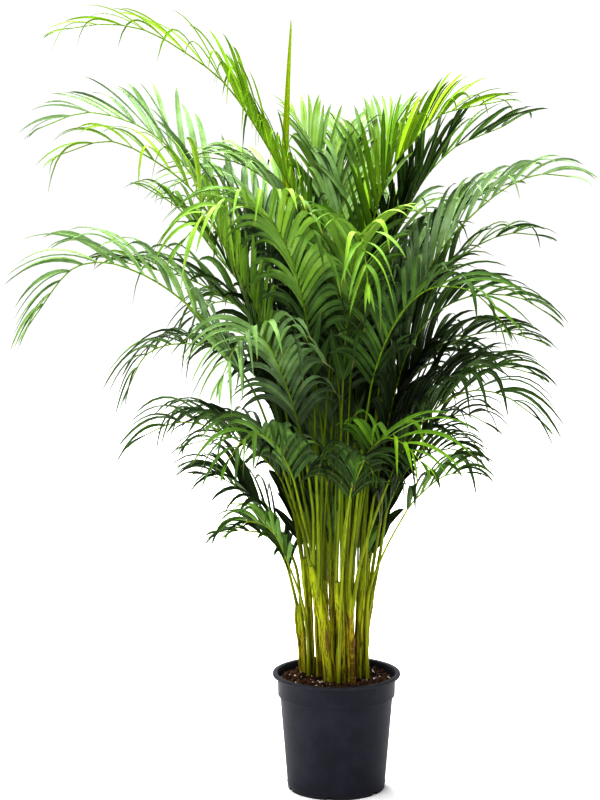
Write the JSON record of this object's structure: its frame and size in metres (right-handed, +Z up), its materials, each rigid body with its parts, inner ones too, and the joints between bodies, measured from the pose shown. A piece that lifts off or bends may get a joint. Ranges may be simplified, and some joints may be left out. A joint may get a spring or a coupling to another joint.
{
  "type": "potted palm",
  "caption": "Areca palm with arching feather fronds on a bundle of canes, planted in soil in a round tapered pot with a rolled lip and bottom drainage notches.",
  "frame": {"origin": "centre of the pot's flat underside, which stands on the floor", "axes": "+Z up along the pot's axis; -Y is the front of the plant and +X its right-hand side seen from the front"},
  "size_m": [1.0965, 0.9009, 1.5051],
  "materials": {
    "pot_plastic": "satin",
    "soil": "matte",
    "cane": "satin",
    "stub": "matte",
    "leaf": "satin",
    "young_leaf": "satin"
  },
  "bodies": {
    "root": {"cane_01": "cane", "cane_02": "cane", "cane_03": "cane", "cane_04": "cane", "cane_05": "cane", "cane_06": "cane", "cane_07": "cane", "cane_08": "cane", "cane_09": "cane", "cane_10": "cane", "cane_11": "cane", "cane_12": "cane", "cane_13": "cane", "cane_14": "cane", "cane_stub": "stub", "frond_01": "leaf", "frond_02": "young_leaf", "frond_03": "leaf", "frond_04": "leaf", "frond_05": "leaf", "frond_06": "leaf", "frond_07": "leaf", "frond_08": "leaf", "frond_09": "leaf", "frond_10": "leaf", "frond_11": "leaf", "frond_12": "leaf", "frond_13": "leaf", "frond_14": "leaf", "frond_15": "leaf", "frond_16": "leaf", "frond_17": "leaf", "frond_18": "leaf", "frond_19": "leaf", "frond_20": "leaf", "frond_21": "leaf", "frond_22": "leaf", "frond_23": "leaf", "frond_24": "leaf", "frond_25": "leaf", "frond_26": "leaf", "frond_27": "leaf", "frond_28": "leaf", "frond_29": "leaf", "frond_30": "leaf", "frond_31": "leaf", "frond_32": "leaf", "frond_33": "leaf", "frond_34": "leaf", "frond_35": "leaf", "frond_36": "leaf", "frond_37": "leaf", "frond_38": "leaf", "frond_39": "leaf", "frond_40": "leaf", "frond_41": "leaf", "frond_42": "leaf", "nursery_pot": "pot_plastic", "soil": "soil"}
  },
  "joints": []
}
